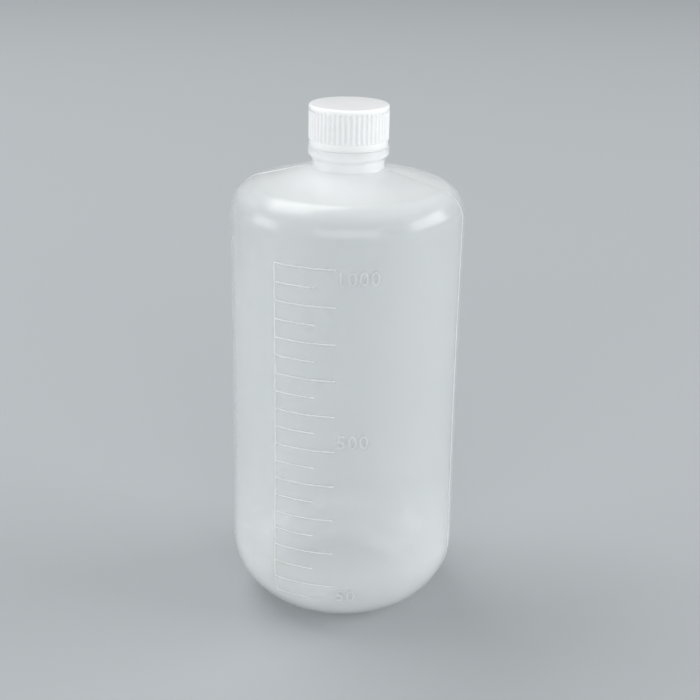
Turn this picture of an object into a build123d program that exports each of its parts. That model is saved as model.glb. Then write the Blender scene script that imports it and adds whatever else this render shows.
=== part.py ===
"""Narrow-mouth media bottle of one litre with a ribbed screw cap.

The bottle stands on z = 0 with its axis on Z. Its two mould halves meet in the
XZ plane, and the raised scale is on the half that faces -Y. Sizes are in mm,
angles in degrees, and the cap is modelled screwed down on its liner.
"""

import os
from math import asin, cos, degrees, pi, radians, sin, sqrt, tan

from build123d import *

# ---------------------------------------------------------------- driving dimensions
# Blown body
body_diameter = 94.5
body_wall = 1.2
heel_radius = 28.0
heel_cut = 20.0  # slope of the heel where it meets the standing ring
heel_facets = 5
ring_width = 1.8
push_up = 4.5
push_up_flank = 9.0  # how far the sloping flank of the push-up reaches inwards
wall_top = 168.6
shoulder_radius = 12.6
shoulder_slope = 15.0
shoulder_facets = 4
bore_heel_facets = 2
bore_shoulder_facets = 2
parting_width = 0.6  # raised line where the mould halves meet
parting_relief = 0.15
parting_foot = 1.0

# Neck and bead
neck_diameter = 28.9
neck_wall = 1.8
neck_height = 3.7
bead_overhang = 1.7
bead_height = 3.15

# Threaded finish
finish_diameter = 25.8
finish_height = 13.5
mouth_diameter = 21.6
thread_lead = 4.0
thread_depth = 1.1
thread_crest = 0.9
thread_base = 2.0
thread_fade = 30.0  # angle over which each end of a thread dies away
thread_sink = 0.3  # how far a thread's foot reaches into its wall
thread_turns = 1.75
thread_bottom_land = 3.9  # from the bead up to the centre of the first turn

# Cap
thread_gap = 0.3
cap_wall = 1.2
cap_top_thickness = 1.7
cap_top_radius = 1.4
cap_top_facets = 2
cap_edge_gap = 0.25
cap_thread_turns = 1.0
cap_thread_bottom_land = 2.0  # from the cap's edge up to the centre of its first turn
rib_count = 48
rib_height = 0.45
rib_width = 0.9
rib_sink = 0.4
rib_top_land = 1.7
plain_band_height = 2.8
plain_band_step = 0.2

# Liner
liner_thickness = 1.2
liner_side_gap = 0.15

# Raised scale
mark_volume = 50_000.0
mark_count = 20
scale_zero = 8.0  # height at which the scale's straight part would read nothing
scale_relief = 0.3
mark_relief = 0.25
scale_sink = 0.4
scale_line_width = 0.7
scale_side = -110.0  # angle about Z from +X to the upright line
short_mark = 21.0
long_mark = 31.0
short_marks = (1, 3, 5, 7, 9, 11, 13, 15, 17, 19)

# ---------------------------------------------------------------- derived sizes
body_radius = body_diameter / 2
heel_centre_r = body_radius - heel_radius
heel_top = heel_radius * cos(radians(heel_cut))
ring_radius = heel_centre_r + heel_radius * sin(radians(heel_cut))
push_up_edge = ring_radius - ring_width
shoulder_centre_r = body_radius - shoulder_radius

neck_radius = neck_diameter / 2
neck_bore_radius = neck_radius - neck_wall
bead_radius = neck_radius + bead_overhang
mouth_radius = mouth_diameter / 2
finish_radius = finish_diameter / 2
crest_radius = finish_radius + thread_depth


def cone_height(radius: float, inset: float) -> float:
    """Height of the shoulder cone at a radius, on the skin `inset` inside the outer one."""
    arc = shoulder_radius - inset
    start_r = shoulder_centre_r + arc * sin(radians(shoulder_slope))
    start_z = wall_top + arc * cos(radians(shoulder_slope))
    return start_z + (start_r - radius) * tan(radians(shoulder_slope))


neck_root = cone_height(neck_radius, 0)
bead_under = neck_root + neck_height
bead_bottom = bead_under + bead_overhang
bead_top = bead_bottom + bead_height
lip = bead_top + finish_height
thread_start = bead_top + thread_bottom_land

cap_bore_radius = crest_radius + thread_gap
cap_radius = cap_bore_radius + cap_wall
rib_tip_radius = cap_radius + rib_height
plain_band_radius = cap_radius + plain_band_step
cap_edge = bead_top + cap_edge_gap
ribs_bottom = cap_edge + plain_band_height
cap_ceiling = lip + liner_thickness
cap_top = cap_ceiling + cap_top_thickness
ribs_top = cap_top - rib_top_land
cap_thread_start = cap_edge + cap_thread_bottom_land
flank_run = (thread_base - thread_crest) / 2 / (thread_depth + thread_sink)
flanks_apart = thread_base - flank_run * (cap_bore_radius - finish_radius + 2 * thread_sink)
thread_drop = flanks_apart + thread_gap  # from the neck's turns down to the cap's

bore_area = pi * (body_radius - body_wall) ** 2
mark_pitch = mark_volume / bore_area
marks = min(mark_count, int((wall_top - scale_zero) / mark_pitch))


# ---------------------------------------------------------------- shared shapes
def bend(centre: tuple, radius: float, first: float, last: float, facets: int) -> list[tuple]:
    """Points round an arc from one angle to another, one to each facet's end."""
    turns = [radians(first + (last - first) * step / facets) for step in range(facets + 1)]
    return [(centre[0] + radius * cos(turn), centre[1] + radius * sin(turn)) for turn in turns]


def heel(inset: float, floor: float, facets: int) -> list[tuple]:
    """Points up the heel from a height, on the skin `inset` inside the outer one."""
    radius = heel_radius - inset
    start = -degrees(asin((heel_top - floor) / radius))
    return bend((heel_centre_r, heel_top), radius, start, 0, facets)


def blown_skin(inset: float, heel_bends: int, shoulder_bends: int) -> list[tuple]:
    """Half outline of the body from the push-up to the shoulder's cone."""
    shoulder = shoulder_radius - inset
    return [
        (0, push_up + inset),
        (push_up_edge - push_up_flank, push_up + inset),
        (push_up_edge, inset),
        *heel(inset, inset, heel_bends),
        *bend((shoulder_centre_r, wall_top), shoulder, 0, 90 - shoulder_slope, shoulder_bends),
    ]


def parting_skin(inset: float) -> list[tuple]:
    """Half outline that one skin of the parting line follows, `inset` inside the outer skin."""
    shoulder = shoulder_radius - inset
    end = neck_radius - scale_sink
    return [
        *heel(inset, parting_foot, heel_facets),
        *bend((shoulder_centre_r, wall_top), shoulder, 0, 90 - shoulder_slope, shoulder_facets),
        (end, cone_height(end, inset)),
    ]


def wall_radius(height: float) -> float:
    """Outer radius of the body at a height on its heel or its wall."""
    return heel_centre_r + sqrt(heel_radius**2 - max(heel_top - height, 0) ** 2)


def thread_run(root: float, reach: float, start: float, turned: tuple, sizes: tuple) -> Part:
    """One helical stretch of ridge.

    `turned` holds its first angle and its length in degrees. With two `sizes` it
    grows or dies away between them, and with one it keeps that size.
    """
    first, length = turned
    sink = -thread_sink if reach > 0 else thread_sink
    with BuildPart() as run:
        with BuildLine() as path:
            helix = Helix(thread_lead, thread_lead * length / 360, root, center=(0, 0, start))
        for place, size in enumerate(sizes):
            point = helix @ place
            with BuildSketch(Plane(point, x_dir=(point.X, point.Y, 0), z_dir=helix % place)):
                with BuildLine():
                    Polyline(
                        (sink, -thread_base / 2 * size),
                        (reach * size, -thread_crest / 2 * size),
                        (reach * size, thread_crest / 2 * size),
                        (sink, thread_base / 2 * size),
                        close=True,
                    )
                make_face()
        sweep(path=path.line, multisection=len(sizes) > 1, is_frenet=True)
    return run.part.rotate(Axis.Z, first)


def thread(root: float, reach: float, start: float, turns: float, drop: float) -> list[Part]:
    """A right-hand ridge whose ends die away, `drop` below the neck's own turns."""
    first = 360 * (start + drop - thread_start) / thread_lead
    fade_rise = thread_lead * thread_fade / 360
    middle = 360 * turns - 2 * thread_fade
    last = start + thread_lead * turns - fade_rise
    return [
        thread_run(root, reach, start, (first, thread_fade), (0.1, 1)),
        thread_run(root, reach, start + fade_rise, (first + thread_fade, middle), (1,)),
        thread_run(root, reach, last, (first + thread_fade + middle, thread_fade), (1, 0.1)),
    ]


# ---------------------------------------------------------------- bottle
neck_thread = thread(finish_radius, thread_depth, thread_start, thread_turns, 0)
line_span = degrees(scale_line_width / body_radius)
line_low = scale_zero + mark_pitch - scale_line_width / 2
line_high = scale_zero + mark_pitch * marks + scale_line_width / 2

with BuildPart() as bottle:
    with BuildSketch(Plane.XZ):
        with BuildLine():
            Polyline(
                *blown_skin(0, heel_facets, shoulder_facets),
                (neck_radius, neck_root),
                (neck_radius, bead_under),
                (bead_radius, bead_bottom),
                (bead_radius, bead_top),
                (finish_radius, bead_top),
                (finish_radius, lip),
                (mouth_radius, lip),
                (mouth_radius, bead_bottom),
                (neck_bore_radius, bead_under),
                (neck_bore_radius, cone_height(neck_bore_radius, body_wall)),
                *reversed(blown_skin(body_wall, bore_heel_facets, bore_shoulder_facets)),
                close=True,
            )
        make_face()
    revolve(axis=Axis.Z)
    add(neck_thread)

    # Parting line up both sides, from just above the ring to the neck
    with BuildSketch(Plane.XZ.offset(-parting_width / 2)):
        with BuildLine():
            Polyline(
                *parting_skin(-parting_relief),
                *reversed(parting_skin(scale_sink)),
                close=True,
            )
        make_face()
        mirror(about=Plane.YZ)
    extrude(amount=parting_width)

    # Upright line of the scale, which follows the heel and the wall
    with BuildSketch(Plane.XZ.rotated((0, 0, scale_side - line_span / 2))):
        with BuildLine():
            Polyline(
                *heel(-scale_relief, line_low, heel_facets),
                (body_radius + scale_relief, line_high),
                (body_radius - scale_sink, line_high),
                *reversed(heel(scale_sink, line_low, heel_facets)),
                close=True,
            )
        make_face()
    revolve(axis=Axis.Z, revolution_arc=line_span)

    # Level marks, one to each volume
    for number in range(1, marks + 1):
        low = scale_zero + mark_pitch * number - scale_line_width / 2
        high = low + scale_line_width
        with BuildSketch(Plane.XZ.rotated((0, 0, scale_side))):
            with BuildLine():
                Polyline(
                    (wall_radius(low) - scale_sink, low),
                    (wall_radius(low) + mark_relief, low),
                    (wall_radius(high) + mark_relief, high),
                    (wall_radius(high) - scale_sink, high),
                    close=True,
                )
            make_face()
        revolve(axis=Axis.Z, revolution_arc=short_mark if number in short_marks else long_mark)

# ---------------------------------------------------------------- cap
cap_thread_reach = -(cap_bore_radius - finish_radius - thread_gap)
cap_thread = thread(cap_bore_radius, cap_thread_reach, cap_thread_start, cap_thread_turns, thread_drop)

with BuildPart() as rib:
    with BuildSketch(Plane.XZ.offset(-rib_width / 2)):
        with BuildLine():
            Polyline(
                (cap_radius - rib_sink, ribs_bottom),
                (rib_tip_radius, ribs_bottom),
                (rib_tip_radius, ribs_top - rib_height),
                (cap_radius - rib_sink, ribs_top + rib_sink),
                close=True,
            )
        make_face()
    extrude(amount=rib_width)

with BuildPart() as cap:
    with BuildSketch(Plane.XZ):
        with BuildLine():
            Polyline(
                (0, cap_ceiling),
                (cap_bore_radius, cap_ceiling),
                (cap_bore_radius, cap_edge),
                (plain_band_radius, cap_edge),
                (plain_band_radius, ribs_bottom),
                (cap_radius, ribs_bottom),
                *bend((cap_radius - cap_top_radius, cap_top - cap_top_radius), cap_top_radius, 0, 90,
                      cap_top_facets),
                (0, cap_top),
                close=True,
            )
        make_face()
    revolve(axis=Axis.Z)
    with PolarLocations(0, rib_count):
        add(rib.part)
    add(cap_thread)

# ---------------------------------------------------------------- liner
with BuildPart() as liner:
    with BuildSketch(Plane.XY.offset(lip)):
        Circle(cap_bore_radius - liner_side_gap)
    extrude(amount=liner_thickness)

# ---------------------------------------------------------------- files
os.makedirs("parts", exist_ok=True)
for piece, name in ((bottle, "bottle"), (cap, "cap"), (liner, "liner")):
    piece.part.label = name
    export_step(piece.part, f"parts/{name}.step")
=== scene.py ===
"""Visual model of a one-litre narrow-mouth media bottle with a ribbed screw cap.

The bottle, the cap and the cap's liner are modelled the way the real ones are made, and
take the places of the frame's plain solids. The classes hold sizes in millimetres and
angles in degrees, and the meshes are in metres. The bottle's axis is Z, its mould halves
meet in the XZ plane, and its scale is on the half that faces -Y.
"""

import logging
import math
from collections.abc import Iterable
from dataclasses import dataclass
from enum import Enum, IntEnum
from typing import Any

import bmesh
import bpy
from mathutils import Matrix, Vector


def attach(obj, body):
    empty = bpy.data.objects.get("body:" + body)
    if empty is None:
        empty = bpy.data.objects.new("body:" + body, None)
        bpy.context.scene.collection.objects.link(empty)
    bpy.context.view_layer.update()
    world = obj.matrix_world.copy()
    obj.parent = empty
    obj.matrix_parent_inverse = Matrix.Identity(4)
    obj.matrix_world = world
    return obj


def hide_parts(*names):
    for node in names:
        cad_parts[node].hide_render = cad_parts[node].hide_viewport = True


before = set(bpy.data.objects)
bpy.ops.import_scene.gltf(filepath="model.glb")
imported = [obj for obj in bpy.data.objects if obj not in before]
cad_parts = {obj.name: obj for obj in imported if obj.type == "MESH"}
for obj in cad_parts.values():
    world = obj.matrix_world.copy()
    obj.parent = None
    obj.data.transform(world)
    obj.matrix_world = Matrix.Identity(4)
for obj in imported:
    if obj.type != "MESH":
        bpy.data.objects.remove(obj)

logging.basicConfig(level=logging.INFO, format="%(message)s")
log = logging.getLogger("media_bottle")

MM = 0.001
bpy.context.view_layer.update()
Point = tuple[float, float]

CORNER_STEP = 10.0  # degrees between the points of a rounded corner
FEWEST_STEPS = 3  # stretches in the smallest rounded corner
WELD = 1e-6  # metres within which a turned form's points are one
LETTER_WELD = 1e-7  # the same for the finer points of lettering
CAP_GAP = 0.01  # millimetres between the cap's edge and the neck's bead


class Level(Enum):
    """What stands at a level of the scale, by the length of its mark in degrees."""

    HUNDRED = 31.0
    FIFTY = 21.0


class Coat(IntEnum):
    """Which of its piece's finishes a face takes, by the finish's place in their order."""

    WALL = 0
    LINES = 1
    NUMERALS = 2


# ------------------------------------------------------------------ outlines and ridges
def arc(centre: Point, radius: float, first: float, last: float, steps: int) -> list[Point]:
    """Gives points round an arc.

    Args:
        centre: the arc's centre, as r and z.
        radius: its radius.
        first: the angle it starts at, from the r axis towards z.
        last: the angle it ends at.
        steps: how many equal stretches it has.

    Returns:
        The points, both ends included.
    """
    turns = [math.radians(first + (last - first) * step / steps) for step in range(steps + 1)]
    return [(centre[0] + radius * math.cos(t), centre[1] + radius * math.sin(t)) for t in turns]


def rounded(corners: Iterable[tuple[float, float, float]]) -> list[Point]:
    """Rounds the corners of an open outline.

    Args:
        corners: r, z and rounding radius of each corner, with 0 where it stays as it is.

    Returns:
        The outline's points, with an arc at each rounded corner.
    """
    corners = list(corners)
    points: list[Point] = []
    for index, (r, z, radius) in enumerate(corners):
        if radius == 0:
            points.append((r, z))
            continue
        here = Vector((r, z))
        before = (Vector(corners[index - 1][:2]) - here).normalized()
        after = (Vector(corners[index + 1][:2]) - here).normalized()
        half = before.angle(after) / 2
        centre = here + (before + after).normalized() * radius / math.sin(half)
        start = here + before * radius / math.tan(half) - centre
        turn = math.degrees(math.pi - 2 * half)
        if start.x * (after.y - before.y) - start.y * (after.x - before.x) < 0:
            turn = -turn
        first = math.degrees(math.atan2(start.y, start.x))
        steps = max(FEWEST_STEPS, math.ceil(abs(turn) / CORNER_STEP))
        points += arc(tuple(centre), radius, first, first + turn, steps)
    return points


def spun(outline: Iterable[Point], steps: int) -> bmesh.types.BMesh:
    """Spins a half outline into a closed form about the upright axis.

    Args:
        outline: r and z of its points; a form without a bore starts and ends on the axis.
        steps: how many columns of faces go round it.

    Returns:
        The mesh, with its faces pointing outwards.
    """
    mesh = bmesh.new()
    verts = [mesh.verts.new((r * MM, 0, z * MM)) for r, z in outline]
    edges = [mesh.edges.new(pair) for pair in zip(verts, verts[1:])]
    bmesh.ops.spin(mesh, geom=verts + edges, cent=(0, 0, 0), axis=(0, 0, 1), dvec=(0, 0, 0),
                   angle=math.tau, steps=steps, use_merge=True, use_duplicate=False)
    bmesh.ops.remove_doubles(mesh, verts=mesh.verts, dist=WELD)
    bmesh.ops.recalc_face_normals(mesh, faces=mesh.faces)
    return mesh


def add_ridge(mesh: bmesh.types.BMesh, section: Iterable[Point], stations: list[Matrix],
              finish: Coat) -> None:
    """Grows a solid ridge by carrying its section from station to station.

    Args:
        mesh: the mesh that the ridge joins.
        section: the corners of the section, across the ridge and outwards.
        stations: where the section stands along the ridge, in millimetres.
        finish: which of the piece's finishes it takes.
    """
    ridge = bmesh.new()
    face = ridge.faces.new([ridge.verts.new(stations[0] @ Vector((x, y, 0))) for x, y in section])
    for here, there in zip(stations, stations[1:]):
        grown = bmesh.ops.extrude_face_region(ridge, geom=[face])["geom"]
        face = next(item for item in grown if isinstance(item, bmesh.types.BMFace))
        bmesh.ops.transform(ridge, matrix=there @ here.inverted(), verts=face.verts)
    bmesh.ops.scale(ridge, vec=(MM, MM, MM), verts=ridge.verts)
    bmesh.ops.recalc_face_normals(ridge, faces=ridge.faces)
    join(mesh, ridge, finish)


def join(mesh: bmesh.types.BMesh, other: bmesh.types.BMesh, finish: Coat) -> None:
    """Adds another mesh to a mesh, and frees the other.

    Args:
        mesh: the mesh that grows.
        other: the mesh that is added to it.
        finish: which of the piece's finishes the other one's faces take.
    """
    for face in other.faces:
        face.material_index = finish
    data = bpy.data.meshes.new("joined")
    other.to_mesh(data)
    other.free()
    mesh.from_mesh(data)
    bpy.data.meshes.remove(data)


def standing(point: Point, normal: Point, azimuth: float, size: float = 1.0) -> Matrix:
    """Places a section on a turned skin, looking along the skin's meridian.

    Args:
        point: r and z of the place.
        normal: the skin's outward direction there, as r and z.
        azimuth: the angle about the axis.
        size: how much of its full size the section has.

    Returns:
        The matrix, whose x goes round the axis and y out of the skin.
    """
    turn = math.radians(azimuth)
    out = Vector((math.cos(turn), math.sin(turn), 0))
    across = Vector((-math.sin(turn), math.cos(turn), 0))
    away = out * normal[0] + Vector((0, 0, normal[1]))
    along = across.cross(away)
    place = out * point[0] + Vector((0, 0, point[1]))
    return Matrix((
        (across.x * size, away.x * size, along.x, place.x),
        (across.y * size, away.y * size, along.y, place.y),
        (across.z * size, away.z * size, along.z, place.z),
        (0, 0, 0, 1),
    ))


def lying(point: Point, normal: Point, azimuth: float, size: float = 1.0) -> Matrix:
    """Places a section on a turned skin, looking round the axis; x goes down the skin."""
    return standing(point, normal, azimuth, size) @ Matrix.Rotation(-math.pi / 2, 4, "Y")


def finished(name: str, mesh: bmesh.types.BMesh, crease: float,
             *finishes: "Finish") -> bpy.types.Object:
    """Turns a mesh into a shaded object at the origin.

    Args:
        name: the object's name.
        mesh: the mesh, which is freed.
        crease: the angle above which an edge stays sharp.
        finishes: what the piece is made of, in the order of its faces' material numbers.

    Returns:
        The new object.
    """
    for face in mesh.faces:
        face.smooth = True
    for edge in mesh.edges:
        edge.smooth = edge.calc_face_angle(0) < math.radians(crease)
    data = bpy.data.meshes.new(name)
    mesh.to_mesh(data)
    mesh.free()
    piece = bpy.data.objects.new(name, data)
    bpy.context.scene.collection.objects.link(piece)
    for finish in finishes:
        data.materials.append(finish.material())
    return piece


# ------------------------------------------------------------------ finishes
def linear(colour: str) -> tuple[float, float, float, float]:
    """Turns an sRGB hex value such as d9dcdd into a linear colour."""
    parts = [int(colour[start:start + 2], 16) / 255 for start in (0, 2, 4)]
    # the sRGB standard's own curve: straight near black, a power above it
    red, green, blue = [p / 12.92 if p <= 0.04045 else ((p + 0.055) / 1.055) ** 2.4 for p in parts]
    return red, green, blue, 1.0


def add_node(tree: bpy.types.NodeTree, kind: str, settings: dict[str, Any] | None = None,
             links: dict[str, bpy.types.NodeSocket] | None = None) -> bpy.types.Node:
    """Adds a node to a material.

    Args:
        tree: the material's node tree.
        kind: the node's type name.
        settings: values for its sockets or its own properties, by name.
        links: the sockets that feed its inputs, by the input's name.

    Returns:
        The new node.
    """
    node = tree.nodes.new(kind)
    for name, value in (settings or {}).items():
        if name in node.inputs:
            node.inputs[name].default_value = value
        else:
            setattr(node, name, value)
    for name, socket in (links or {}).items():
        tree.links.new(socket, node.inputs[name])
    return node


class Finish:
    """A moulded or made surface that can dress a piece."""

    name: str = ""

    def build(self, tree: bpy.types.NodeTree) -> bpy.types.Node:
        """Adds the finish's nodes and returns its shader."""
        raise NotImplementedError

    def material(self) -> bpy.types.Material:
        """Makes the material, or gives the one that is already made."""
        made = bpy.data.materials.get(self.name)
        if made:
            return made
        made = bpy.data.materials.new(self.name)
        made.use_nodes = True
        tree = made.node_tree
        tree.nodes.clear()
        shader = self.build(tree)
        add_node(tree, "ShaderNodeOutputMaterial", links={"Surface": shader.outputs[0]})
        return made


@dataclass(frozen=True)
class MilkyPolypropylene(Finish):
    """Natural polypropylene: milky, satin, and letting soft light through its thin walls.

    The mould leaves a fine even grain on it, and the wall behind wanders slowly, which
    bends the highlights in broad soft patches. The real grain is near 0.1 mm, and every
    grain here is drawn coarser so that it shows.
    """

    colour: str = "d5d9d9"
    opacity: float = 0.25
    ior: float = 1.49
    roughness: float = 0.17
    gloss: float = 0.7
    scattering: float = 1.0
    scatter_mm: float = 4.0
    grain_mm: float = 0.9
    grain_depth_mm: float = 0.004
    wander_mm: float = 24.0
    wander_depth_mm: float = 0.05
    wander_upright: float = 0.45  # the waves' frequency along Z, as a share of that across it

    def build(self, tree: bpy.types.NodeTree) -> bpy.types.Node:
        """Adds the milky plastic's nodes and returns its shader."""
        place = add_node(tree, "ShaderNodeTexCoord").outputs["Object"]
        grain = add_node(
            tree, "ShaderNodeTexNoise",
            {"Scale": 1 / (self.grain_mm * MM), "Detail": 3.0}, {"Vector": place})
        stretched = add_node(
            tree, "ShaderNodeMapping",
            {"Scale": (1.0, 1.0, self.wander_upright)}, {"Vector": place})
        wander = add_node(
            tree, "ShaderNodeTexNoise",
            {"Scale": 1 / (self.wander_mm * MM), "Detail": 1.0},
            {"Vector": stretched.outputs["Vector"]})
        waves = add_node(
            tree, "ShaderNodeBump",
            {"Strength": 1.0, "Distance": self.wander_depth_mm * MM},
            {"Height": wander.outputs["Fac"]})
        skin = add_node(
            tree, "ShaderNodeBump",
            {"Strength": 1.0, "Distance": self.grain_depth_mm * MM},
            {"Height": grain.outputs["Fac"], "Normal": waves.outputs["Normal"]})
        return add_node(tree, "ShaderNodeBsdfPrincipled", {
            "Base Color": linear(self.colour),
            "Roughness": self.roughness,
            "IOR": self.ior,
            "Alpha": self.opacity,
            "Specular IOR Level": self.gloss,
            "Subsurface Weight": self.scattering,
            "Subsurface Radius": (1.0, 1.0, 1.0),
            "Subsurface Scale": self.scatter_mm * MM,
        }, {"Normal": skin.outputs["Normal"]})


@dataclass(frozen=True)
class BlownPolypropylene(MilkyPolypropylene):
    """Natural polypropylene blown into a mould: thin and see-through in the body.

    The blown wall thickens from the shoulder up to the neck, where it turns milky white.
    Towards the heel it turns whiter too, partly for its thicker base and partly as painted
    light that lifts the shade of the floor's shadow seen through it.
    """

    name: str = "blown_natural_polypropylene"
    thick_wall_and_painted_heel_colour: str = "f2f4f5"
    thick_wall_and_painted_heel_opacity: float = 0.75
    # painted light: the heel's whitening, partly its thicker base, lifts the floor's shadow seen
    # through it
    heel_thickness_and_painted_light: float = 0.34
    neck_from_mm: float = 172.0
    neck_to_mm: float = 188.0
    heel_from_mm: float = 70.0
    heel_to_mm: float = 12.0

    def build(self, tree: bpy.types.NodeTree) -> bpy.types.Node:
        """Adds the blown wall's nodes and returns its shader."""
        shader = super().build(tree)
        place = add_node(tree, "ShaderNodeTexCoord").outputs["Object"]
        height = add_node(tree, "ShaderNodeSeparateXYZ", links={"Vector": place}).outputs["Z"]
        neck = add_node(tree, "ShaderNodeMapRange", {
            "interpolation_type": "SMOOTHSTEP",
            "From Min": self.neck_from_mm * MM,
            "From Max": self.neck_to_mm * MM,
        }, {"Value": height})
        # painted light: whitens the heel, beside its thicker base, to lift the floor's shadow seen
        # through it
        heel = add_node(tree, "ShaderNodeMapRange", {
            "interpolation_type": "SMOOTHSTEP",
            "From Min": self.heel_from_mm * MM,
            "From Max": self.heel_to_mm * MM,
            "To Max": self.heel_thickness_and_painted_light,
        }, {"Value": height})
        # the neck's thickening plus the heel's whitening, which is partly painted light
        thickness = add_node(tree, "ShaderNodeMath", {"operation": "ADD"})
        tree.links.new(neck.outputs["Result"], thickness.inputs[0])
        tree.links.new(heel.outputs["Result"], thickness.inputs[1])
        opacity = add_node(
            tree, "ShaderNodeMapRange",
            {"To Min": self.opacity, "To Max": self.thick_wall_and_painted_heel_opacity},
            {"Value": thickness.outputs["Value"]})
        # a Mix node's sockets share their names between its kinds, so those of the colour
        # kind are found by their own kind
        colour = add_node(tree, "ShaderNodeMix", {"data_type": "RGBA"})
        thin, thick_and_painted_heel = [socket for socket in colour.inputs if socket.type == "RGBA"]
        mixed = next(socket for socket in colour.outputs if socket.type == "RGBA")
        tree.links.new(thickness.outputs["Value"], colour.inputs[0])
        thin.default_value = linear(self.colour)
        thick_and_painted_heel.default_value = linear(self.thick_wall_and_painted_heel_colour)
        tree.links.new(mixed, shader.inputs["Base Color"])
        tree.links.new(opacity.outputs["Result"], shader.inputs["Alpha"])
        return shader


@dataclass(frozen=True)
class RaisedPolypropylene(MilkyPolypropylene):
    """The same blown plastic where it fills the mould's engraved lines: thicker, so whiter,
    and whiter still as a painted highlight for the light that the raised lines catch.
    """

    name: str = "raised_natural_polypropylene"
    # painted highlight: this white and the higher opacity also stand for light caught by the
    # ridges
    colour: str = "f1f3f3"
    opacity: float = 0.6
    scattering: float = 0.0
    wander_depth_mm: float = 0.0


@dataclass(frozen=True)
class CapPolypropylene(MilkyPolypropylene):
    """Polypropylene injection-moulded thicker for the cap: whiter, smoother and hardly clear."""

    name: str = "moulded_white_polypropylene"
    colour: str = "f7f8f9"
    opacity: float = 0.9
    roughness: float = 0.2
    scattering: float = 0.5
    scatter_mm: float = 3.0
    grain_mm: float = 0.5
    grain_depth_mm: float = 0.002
    wander_mm: float = 9.0
    wander_depth_mm: float = 0.01


@dataclass(frozen=True)
class FoamLiner(Finish):
    """Foamed polyethylene sheet, die-cut: matt white with fine closed cells."""

    name: str = "foamed_polyethylene"
    colour: str = "f0f0ee"
    ior: float = 1.5
    roughness: float = 0.75
    cell_mm: float = 0.35
    dimple_mm: float = 0.05

    def build(self, tree: bpy.types.NodeTree) -> bpy.types.Node:
        """Adds the foam's nodes and returns its shader."""
        place = add_node(tree, "ShaderNodeTexCoord").outputs["Object"]
        cells = add_node(
            tree, "ShaderNodeTexVoronoi", {"Scale": 1 / (self.cell_mm * MM)}, {"Vector": place})
        dimples = add_node(
            tree, "ShaderNodeBump", {"Strength": 0.5, "Distance": self.dimple_mm * MM},
            {"Height": cells.outputs["Distance"]})
        return add_node(tree, "ShaderNodeBsdfPrincipled", {
            "Base Color": linear(self.colour),
            "Roughness": self.roughness,
            "IOR": self.ior,
        }, {"Normal": dimples.outputs["Normal"]})


@dataclass(frozen=True)
class StudioFloor(Finish):
    """Pale grey paper, plain and matt, which takes soft shadows."""

    name: str = "grey_paper"
    colour: str = "a5a9ab"
    roughness: float = 0.9
    gloss: float = 0.2

    def build(self, tree: bpy.types.NodeTree) -> bpy.types.Node:
        """Adds the paper's nodes and returns its shader."""
        return add_node(tree, "ShaderNodeBsdfPrincipled", {
            "Base Color": linear(self.colour),
            "Roughness": self.roughness,
            "Specular IOR Level": self.gloss,
        })


# ------------------------------------------------------------------ pieces
@dataclass
class ScrewNeck:
    """The threaded part of the neck, and the thread form that the cap shares with it."""

    radius: float = 12.9
    mouth_radius: float = 10.8
    height: float = 13.5
    lead: float = 4.0
    depth: float = 1.1
    crest: float = 0.9
    base: float = 2.0
    sink: float = 0.3
    fade: float = 40.0
    bottom_land: float = 3.9
    turns: float = 1.75
    shoulder: float = 0.8  # share of the reach at which the crest begins to round
    shoulder_half: float = 0.62  # half width there, as a share of the crest's width
    crest_half: float = 0.3  # half width at the full reach, as the same share
    steps_per_turn: int = 72
    tip: float = 0.08  # share of the full section that each end dies away to

    def add_thread(self, mesh: bmesh.types.BMesh, root: float, reach: float, start: float,
                   turns: float, first: float, finish: Coat) -> None:
        """Grows a helical thread whose two ends die away.

        Args:
            mesh: the mesh that it joins.
            root: the radius of the wall that it stands on.
            reach: how far it stands out, negative where it points inwards.
            start: the height of its first turn's centre.
            turns: how many times it goes round.
            first: the azimuth that it starts at.
            finish: which of the piece's finishes it takes.
        """
        foot = -self.sink if reach > 0 else self.sink
        edge, half_edge = reach * self.shoulder, self.crest * self.shoulder_half
        half_crest, half_base = self.crest * self.crest_half, self.base / 2
        section = [(foot, -half_base), (edge, -half_edge), (reach, -half_crest),
                   (reach, half_crest), (edge, half_edge), (foot, half_base)]
        quarter_z = Matrix.Rotation(math.pi / 2, 4, "Z")
        quarter_x = Matrix.Rotation(math.pi / 2, 4, "X")
        stations = []
        count = round(turns * self.steps_per_turn)
        for step in range(count + 1):
            turned = 360 * turns * step / count
            size = min(1.0, self.tip + min(turned, 360 * turns - turned) / self.fade)
            height = start + self.lead * turned / 360
            place = standing((root, height), (1, 0), first + turned)
            stations.append(place @ quarter_z @ quarter_x @ Matrix.Diagonal((size, size, 1, 1)))
        add_ridge(mesh, section, stations, finish)


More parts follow.
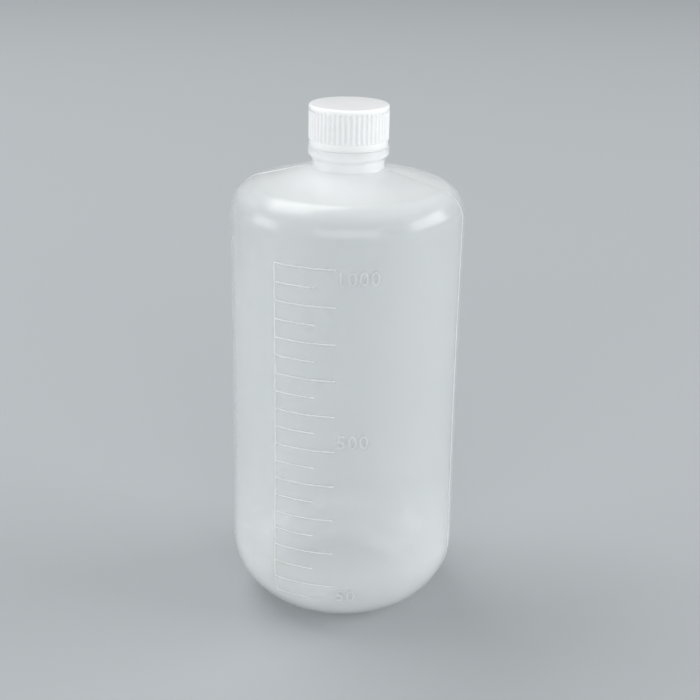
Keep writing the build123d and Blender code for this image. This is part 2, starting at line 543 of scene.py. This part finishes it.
@dataclass
class BlownBottle:
    """The blown body with its shoulder, threaded neck, parting line and raised scale."""

    screw: ScrewNeck
    radius: float = 47.25
    waist: float = 0.4
    wall: float = 1.2
    heel_radius: float = 28.0
    heel_cut: float = 20.0
    ring_width: float = 1.8
    push_up: float = 4.5
    push_up_flank: float = 9.0
    wall_top: float = 168.6
    shoulder_radius: float = 12.6
    shoulder_slope: float = 15.0
    neck_radius: float = 14.45
    neck_bore: float = 12.65
    neck_height: float = 3.7
    bead_overhang: float = 1.7
    bead_height: float = 3.15
    push_up_rounding: float = 9.0
    ring_rounding: float = 1.2
    floor_rounding: float = 8.0
    floor_foot_rounding: float = 1.5
    neck_fillet: float = 0.8
    bead_fillet: float = 0.5
    edge: float = 0.15
    screw_fillet: float = 0.4
    lip_rounding: float = 0.35
    bore_rounding: float = 2.0
    bore_root_rounding: float = 3.0
    columns: int = 240
    heel_steps: int = 20
    wall_steps: int = 24
    shoulder_steps: int = 18
    crease: float = 38.0
    scale_zero: float = 8.0
    marks: int = 20
    mark_pitch: float = 7.505
    mark_section: tuple[Point, ...] = (
        (-0.27, -0.2), (-0.22, 0.08), (-0.1, 0.22), (0.1, 0.22), (0.22, 0.08), (0.27, -0.2))
    mark_step: float = 1.5
    mark_taper: float = 0.55
    line_steps: int = 60
    scale_azimuth: float = -110.0
    parting_section: tuple[Point, ...] = (
        (-0.3, -0.2), (-0.2, 0.05), (0, 0.14), (0.2, 0.05), (0.3, -0.2))
    parting_foot: float = 0.6
    parting_stop: float = 2.5  # how far from the neck it ends
    numerals: tuple[tuple[str, float, float], ...] = (
        ("1000", -79.3, 152.0), ("500", -78.0, 84.8), ("50", -77.6, 15.6))
    numeral_size: float = 7.9
    numeral_spacing: float = 1.12
    numeral_relief: float = 0.22
    numeral_bevel: float = 0.06
    numeral_offset: float = -0.1  # thins the strokes
    numeral_steps: int = 4

    @property
    def heel_top(self) -> float:
        """Height at which the heel runs into the wall."""
        return self.heel_radius * math.cos(math.radians(self.heel_cut))

    def cone(self, radius: float, inset: float) -> float:
        """Height of the shoulder's cone at a radius, `inset` inside the outer skin."""
        slope = math.radians(self.shoulder_slope)
        reach = self.shoulder_radius - inset
        start = self.radius - self.shoulder_radius + reach * math.sin(slope)
        return self.wall_top + reach * math.cos(slope) + (start - radius) * math.tan(slope)

    @property
    def neck_root(self) -> float:
        """Height at which the shoulder meets the neck."""
        return self.cone(self.neck_radius, 0)

    @property
    def bead_top(self) -> float:
        """Height of the bead's top face."""
        return self.neck_root + self.neck_height + self.bead_overhang + self.bead_height

    @property
    def lip(self) -> float:
        """Height of the mouth's rim."""
        return self.bead_top + self.screw.height

    def skin(self, inset: float) -> list[Point]:
        """Half outline of the blown skin from the heel's foot to the cone, `inset` inside it."""
        foot = -math.degrees(math.asin((self.heel_top - inset) / (self.heel_radius - inset)))
        centre = (self.radius - self.heel_radius, self.heel_top)
        points = arc(centre, self.heel_radius - inset, foot, 0, self.heel_steps)
        middle = (self.heel_top + self.wall_top) / 2
        half = (self.wall_top - self.heel_top) / 2
        for step in range(1, self.wall_steps):
            across = 2 * step / self.wall_steps - 1
            r = self.radius - inset - self.waist * (1 - across**2)
            points.append((r, middle + half * across))
        centre = (self.radius - self.shoulder_radius, self.wall_top)
        reach, last = self.shoulder_radius - inset, 90 - self.shoulder_slope
        return points + arc(centre, reach, 0, last, self.shoulder_steps)

    def outline(self) -> list[Point]:
        """Half outline of the whole wall, from the push-up round the lip to the bore's floor."""
        screw = self.screw
        ring = self.skin(0)[0][0]
        inner = ring - self.ring_width
        flat = inner - self.push_up_flank
        neck = self.neck_root
        under = neck + self.neck_height
        bead = self.neck_radius + self.bead_overhang
        top, lip = self.bead_top, self.lip
        outer_cone = self.skin(0)[-1]
        inner_foot, inner_cone = self.skin(self.wall)[0], self.skin(self.wall)[-1]
        base = rounded([
            (0, self.push_up, 0),
            (flat, self.push_up, self.push_up_rounding),
            (inner, 0, self.ring_rounding),
            (ring, 0, 0),
        ])
        rim = rounded([
            (*outer_cone, 0),
            (self.neck_radius, neck, self.neck_fillet),
            (self.neck_radius, under, self.bead_fillet),
            (bead, under + self.bead_overhang, self.bead_fillet),
            (bead, top, self.edge),
            (screw.radius, top, self.screw_fillet),
            (screw.radius, lip, self.lip_rounding),
            (screw.mouth_radius, lip, self.lip_rounding),
            (screw.mouth_radius, under + self.bead_overhang, self.bore_rounding),
            (self.neck_bore, under, self.bore_rounding),
            (self.neck_bore, self.cone(self.neck_bore, self.wall), self.bore_root_rounding),
            (*inner_cone, 0),
        ])
        floor = rounded([
            (inner_foot[0], self.wall, 0),
            (inner, self.wall, self.floor_foot_rounding),
            (flat, self.push_up + self.wall, self.floor_rounding),
            (0, self.push_up + self.wall, 0),
        ])
        return base[:-1] + self.skin(0) + rim[1:-1] + self.skin(self.wall)[::-1] + floor[1:]

    def on_skin(self, height: float) -> tuple[Point, Point]:
        """Finds the outer skin at a height.

        Args:
            height: a height on the heel or the wall.

        Returns:
            The place and the outward direction there, each as r and z.
        """
        drop = max(self.heel_top - height, 0)
        if drop:
            reach = math.sqrt(self.heel_radius**2 - drop**2)
            normal = (reach / self.heel_radius, -drop / self.heel_radius)
            return (self.radius - self.heel_radius + reach, height), normal
        middle = (self.heel_top + self.wall_top) / 2
        across = (height - middle) / ((self.wall_top - self.heel_top) / 2)
        return (self.radius - self.waist * (1 - across**2), height), (1, 0)

    def add_scale(self, mesh: bmesh.types.BMesh) -> None:
        """Grows the scale's upright line and its level marks out of the wall."""
        low = self.scale_zero + self.mark_pitch
        high = self.scale_zero + self.marks * self.mark_pitch
        steps = self.line_steps
        heights = [low + (high - low) * step / steps for step in range(steps + 1)]
        line = [standing(*self.on_skin(height), self.scale_azimuth) for height in heights]
        add_ridge(mesh, self.mark_section, line, Coat.LINES)
        for number in range(1, self.marks + 1):
            level = Level.HUNDRED if number % 2 == 0 else Level.FIFTY
            place = self.on_skin(self.scale_zero + number * self.mark_pitch)
            count = round(level.value / self.mark_step)
            mark = [lying(*place, self.scale_azimuth + level.value * step / count,
                          1.0 - self.mark_taper * step / count) for step in range(count + 1)]
            add_ridge(mesh, self.mark_section, mark, Coat.LINES)

    def add_parting_line(self, mesh: bmesh.types.BMesh) -> None:
        """Grows the fine raised seam where the two mould halves meet."""
        path = [point for point in self.skin(0) if point[1] > self.parting_foot]
        stop = self.neck_radius + self.parting_stop
        path.append((stop, self.cone(stop, 0)))
        for azimuth in (0.0, 180.0):
            stations = []
            for index, point in enumerate(path):
                before, after = path[max(index - 1, 0)], path[min(index + 1, len(path) - 1)]
                along = Vector(after) - Vector(before)
                along.normalize()
                stations.append(standing(point, (along.y, -along.x), azimuth))
            add_ridge(mesh, self.parting_section, stations, Coat.LINES)

    def add_numerals(self, mesh: bmesh.types.BMesh) -> None:
        """Wraps the three raised numerals of the scale round the wall."""
        for text, azimuth, height in self.numerals:
            curve = bpy.data.curves.new("numerals_" + text, "FONT")
            curve.body = text
            curve.size = self.numeral_size
            curve.space_character = self.numeral_spacing
            curve.extrude = self.numeral_relief
            curve.bevel_depth = self.numeral_bevel
            curve.offset = self.numeral_offset
            curve.resolution_u = self.numeral_steps
            holder = bpy.data.objects.new(curve.name, curve)
            data = bpy.data.meshes.new_from_object(holder)
            digits = bmesh.new()
            digits.from_mesh(data)
            bpy.data.objects.remove(holder)
            bpy.data.curves.remove(curve)
            bpy.data.meshes.remove(data)
            for vert in digits.verts:
                place, normal = self.on_skin(height + vert.co.y)
                turn = math.radians(azimuth) + vert.co.x / self.radius
                out = Vector((math.cos(turn), math.sin(turn), 0))
                r = place[0] + normal[0] * vert.co.z
                z = place[1] + normal[1] * vert.co.z
                vert.co = (out * r + Vector((0, 0, z))) * MM
            bmesh.ops.remove_doubles(digits, verts=digits.verts, dist=LETTER_WELD)
            bmesh.ops.recalc_face_normals(digits, faces=digits.faces)
            join(mesh, digits, Coat.NUMERALS)

    def build(self, finish: Finish, lines: Finish, numerals: Finish) -> bpy.types.Object:
        """Builds the bottle, with its lines and numerals in finishes of their own.

        Args:
            finish: the wall's finish.
            lines: the finish of the scale's lines, the parting line and the neck's thread.
            numerals: the finish of the numerals.

        Returns:
            The bottle's object.
        """
        mesh = spun(self.outline(), self.columns)
        screw, start = self.screw, self.bead_top + self.screw.bottom_land
        screw.add_thread(mesh, screw.radius, screw.depth, start, screw.turns, 0, Coat.LINES)
        self.add_scale(mesh)
        self.add_parting_line(mesh)
        self.add_numerals(mesh)
        return finished("blown_bottle", mesh, self.crease, finish, lines, numerals)


@dataclass
class RibbedCap:
    """The screw cap: a skirt with fine rounded ribs, between a flush rim and a plain band."""

    screw: ScrewNeck
    edge_height: float
    ceiling: float
    bore: float = 14.3
    wall: float = 1.2
    top_thickness: float = 1.7
    top_rounding: float = 0.85
    ribs: int = 48
    rib_height: float = 0.45
    rib_half_width: float = 0.66
    rib_foot: float = 0.16  # height over which a rib rises from the band
    rim_height: float = 2.3
    band_height: float = 2.8
    band_step: float = 0.2
    step_height: float = 0.05
    step_rounding: float = 0.04
    band_rounding: float = 0.05
    edge_rounding: float = 0.25
    ceiling_fillet: float = 0.3
    foot_rows: int = 6
    foot_row: float = 0.04
    cove_rows: int = 8
    columns_per_rib: int = 12
    crease: float = 40.0
    thread_start: float = 2.0
    thread_turns: float = 1.9
    thread_phase: float = 1.514  # lift that sets the cap's thread between the neck's turns
    plain_gap: float = 0.25  # gap under the plain cap, from which that lift is counted

    @property
    def radius(self) -> float:
        """Radius of the skirt between its ribs."""
        return self.bore + self.wall

    @property
    def ribs_bottom(self) -> float:
        """Height at which the ribs start."""
        return self.edge_height + self.band_height

    @property
    def ribs_top(self) -> float:
        """Height at which the ribs have run into the rim."""
        return self.ceiling + self.top_thickness - self.rim_height

    def outline(self) -> list[Point]:
        """Half outline from the inside of the cap's top, round the skirt, to its top face."""
        band = self.radius + self.band_step
        top = self.ceiling + self.top_thickness
        inner = [
            (0, self.ceiling, 0),
            (self.bore, self.ceiling, self.ceiling_fillet),
            (self.bore, self.edge_height, self.edge_rounding),
            (band, self.edge_height, self.band_rounding),
            (band, self.ribs_bottom - self.step_height, self.step_rounding),
        ]
        levels = [self.ribs_bottom + self.foot_row * step for step in range(self.foot_rows)]
        levels += [self.ribs_top - self.rib_height * (1 - step / self.cove_rows)
                   for step in range(self.cove_rows + 1)]
        upper = [(self.radius, level, 0) for level in levels]
        upper += [(self.radius, top, self.top_rounding), (0, top, 0)]
        return rounded(inner + upper)

    def rib(self, turn: float, height: float) -> float:
        """How far the ribs, and the rim that they run into, stand out of the skirt.

        Args:
            turn: the azimuth in radians.
            height: the height.

        Returns:
            The distance in millimetres.
        """
        if height < self.ribs_bottom:
            return 0.0
        pitch = math.tau / self.ribs
        off = abs((turn + pitch / 2) % pitch - pitch / 2) * self.radius / self.rib_half_width
        crown = self.rib_height * math.sqrt(max(0.0, 1 - off**2))
        rise = min(1.0, (height - self.ribs_bottom) / self.rib_foot)
        cove = min(1.0, max(0.0, 1 + (height - self.ribs_top) / self.rib_height))
        filled = (self.rib_height - crown) * (1 - math.sqrt(1 - cove**2))
        return crown * math.sqrt(rise) + filled

    def build(self, finish: Finish) -> bpy.types.Object:
        """Builds the cap and gives its object."""
        mesh = spun(self.outline(), self.ribs * self.columns_per_rib)
        inside = (self.bore + self.wall / 4) * MM  # the bore and its corners stay round
        for vert in mesh.verts:
            flat = vert.co.xy.length
            if flat < inside:
                continue
            grown = self.rib(math.atan2(vert.co.y, vert.co.x), vert.co.z / MM) * MM
            vert.co.x *= 1 + grown / flat
            vert.co.y *= 1 + grown / flat
        screw = self.screw
        start = self.edge_height + self.thread_start
        neck_start = self.edge_height - self.plain_gap + screw.bottom_land
        first = 360 * (start + self.thread_phase - neck_start) / screw.lead
        screw.add_thread(mesh, self.bore, -screw.depth, start, self.thread_turns, first, Coat.WALL)
        return finished("ribbed_cap", mesh, self.crease, finish)


@dataclass
class Liner:
    """The foam disc pressed into the cap."""

    bottom: float
    radius: float = 14.15
    thickness: float = 1.2
    rounding: float = 0.2
    columns: int = 128
    crease: float = 50.0

    @property
    def top(self) -> float:
        """Height of its upper face, which the cap's ceiling rests on."""
        return self.bottom + self.thickness

    def build(self, finish: Finish) -> bpy.types.Object:
        """Builds the liner and gives its object."""
        outline = rounded([
            (0, self.bottom, 0),
            (self.radius, self.bottom, self.rounding),
            (self.radius, self.top, self.rounding),
            (0, self.top, 0),
        ])
        return finished("foam_liner", spun(outline, self.columns), self.crease, finish)


# ------------------------------------------------------------------ studio
@dataclass(frozen=True)
class Softbox:
    """A soft rectangular light, placed round the bottle and turned to face it."""

    name: str
    azimuth: float  # from -Y towards +X
    elevation: float
    distance: float
    width: float
    height: float
    power: float

    def build(self, target: Vector) -> None:
        """Hangs the light, in metres, facing the target."""
        light = bpy.data.lights.new(self.name, "AREA")
        light.shape = "RECTANGLE"
        light.size, light.size_y = self.width, self.height
        light.energy = self.power
        holder = bpy.data.objects.new(self.name, light)
        turn, rise = math.radians(self.azimuth), math.radians(self.elevation)
        level = math.cos(rise)
        away = Vector((math.sin(turn) * level, -math.cos(turn) * level, math.sin(rise)))
        holder.location = target + away * self.distance
        holder.rotation_euler = away.to_track_quat("Z", "Y").to_euler()
        bpy.context.scene.collection.objects.link(holder)


@dataclass
class Studio:
    """The pale floor, the soft lights and the camera."""

    camera_azimuth: float = 15.5
    camera_distance: float = 572.38
    camera_drop: float = 20.56
    camera_aim: float = 108.75
    camera_aside: float = 1.98
    camera_roll: float = 1.0
    focal_pixels: float = 1367.5
    frame_pixels: int = 700
    sensor: float = 36.0
    ambient: float = 0.48
    room_colour: str = "dfe3e6"
    light_aim: float = 0.15  # metres up the bottle
    floor_half: float = 8.0  # metres
    floor_cells: int = 4
    floor_crease: float = 30.0

    def build(self, floor_finish: Finish) -> None:
        """Builds the whole studio."""
        self.add_floor(floor_finish)
        self.add_lights()
        self.add_camera()

    def add_floor(self, finish: Finish) -> None:
        """Lays the floor far enough to fill the view."""
        mesh = bmesh.new()
        bmesh.ops.create_grid(mesh, x_segments=self.floor_cells, y_segments=self.floor_cells,
                              size=self.floor_half)
        floor = finished("studio_floor", mesh, self.floor_crease, finish)

    def add_lights(self) -> None:
        """Hangs the softboxes round the bottle and fills the room with soft light."""
        aim = Vector((0, 0, self.light_aim))
        turn = self.camera_azimuth
        for box in (
            Softbox("overhead_softbox", turn - 130, 58, 3.2, 2.6, 1.7, 62.0),
            Softbox("left_softbox", turn - 88, 12, 4.4, 2.5, 1.8, 70.0),
            Softbox("right_softbox", turn + 92, 20, 4.4, 3.7, 2.0, 150.0),
            Softbox("front_softbox", turn, 16, 4.2, 5.0, 2.0, 112.0),
        ):
            box.build(aim)
        world = bpy.data.worlds.new("studio_room")
        bpy.context.scene.world = world
        world.use_nodes = True
        background = world.node_tree.nodes["Background"]
        background.inputs["Color"].default_value = linear(self.room_colour)
        background.inputs["Strength"].default_value = self.ambient

    def add_camera(self) -> None:
        """Stands the camera in front of the scale, looking down at the bottle."""
        drop = math.radians(self.camera_drop)
        ahead = Vector((0, math.cos(drop), -math.sin(drop)))
        right = Vector((1, 0, 0))
        up = right.cross(ahead)
        roll = math.radians(self.camera_roll)
        across = right * math.cos(roll) + up * math.sin(roll)
        over = up * math.cos(roll) - right * math.sin(roll)
        place = Vector((self.camera_aside, 0, self.camera_aim)) - ahead * self.camera_distance
        pose = Matrix((
            (across.x, over.x, -ahead.x, place.x * MM),
            (across.y, over.y, -ahead.y, place.y * MM),
            (across.z, over.z, -ahead.z, place.z * MM),
            (0, 0, 0, 1),
        ))
        lens = bpy.data.cameras.new("view_camera")
        lens.sensor_width = self.sensor
        lens.lens = self.focal_pixels / self.frame_pixels * lens.sensor_width
        lens.clip_start, lens.clip_end = 0.01, 50.0
        camera = bpy.data.objects.new("view_camera", lens)
        camera.matrix_world = Matrix.Rotation(math.radians(self.camera_azimuth), 4, "Z") @ pose
        bpy.context.scene.collection.objects.link(camera)
        bpy.context.scene.camera = camera


def dress(piece: bpy.types.Object, node: str, body: str) -> None:
    """Puts a piece in the place of a frame node, on the body that carries it."""
    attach(piece, body)
    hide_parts(node)


def main() -> None:
    """Builds the bottle, its cap and liner, and the studio, in that order."""
    screw = ScrewNeck()
    bottle = BlownBottle(screw)
    liner = Liner(bottle.lip)
    cap = RibbedCap(screw, bottle.bead_top + CAP_GAP, liner.top)
    lines = RaisedPolypropylene()
    # the numerals take the raised finish in a greyer colour, for a fainter painted highlight
    numerals = RaisedPolypropylene(name="numerals_polypropylene_and_painted_highlight", colour="dadddd")
    bottle_piece = bottle.build(BlownPolypropylene(), lines, numerals)
    dress(bottle_piece, "bottle", "bottle")
    cap_piece = cap.build(CapPolypropylene())
    dress(cap_piece, "cap", "cap")
    liner_piece = liner.build(FoamLiner())
    dress(liner_piece, "liner", "liner")
    for piece in (bottle_piece, cap_piece, liner_piece):
        log.info("%s: %d faces", piece.name, len(piece.data.polygons))
    Studio().build(StudioFloor())
    bpy.context.scene.view_settings.view_transform = "Standard"


if __name__ == "__main__":
    main()
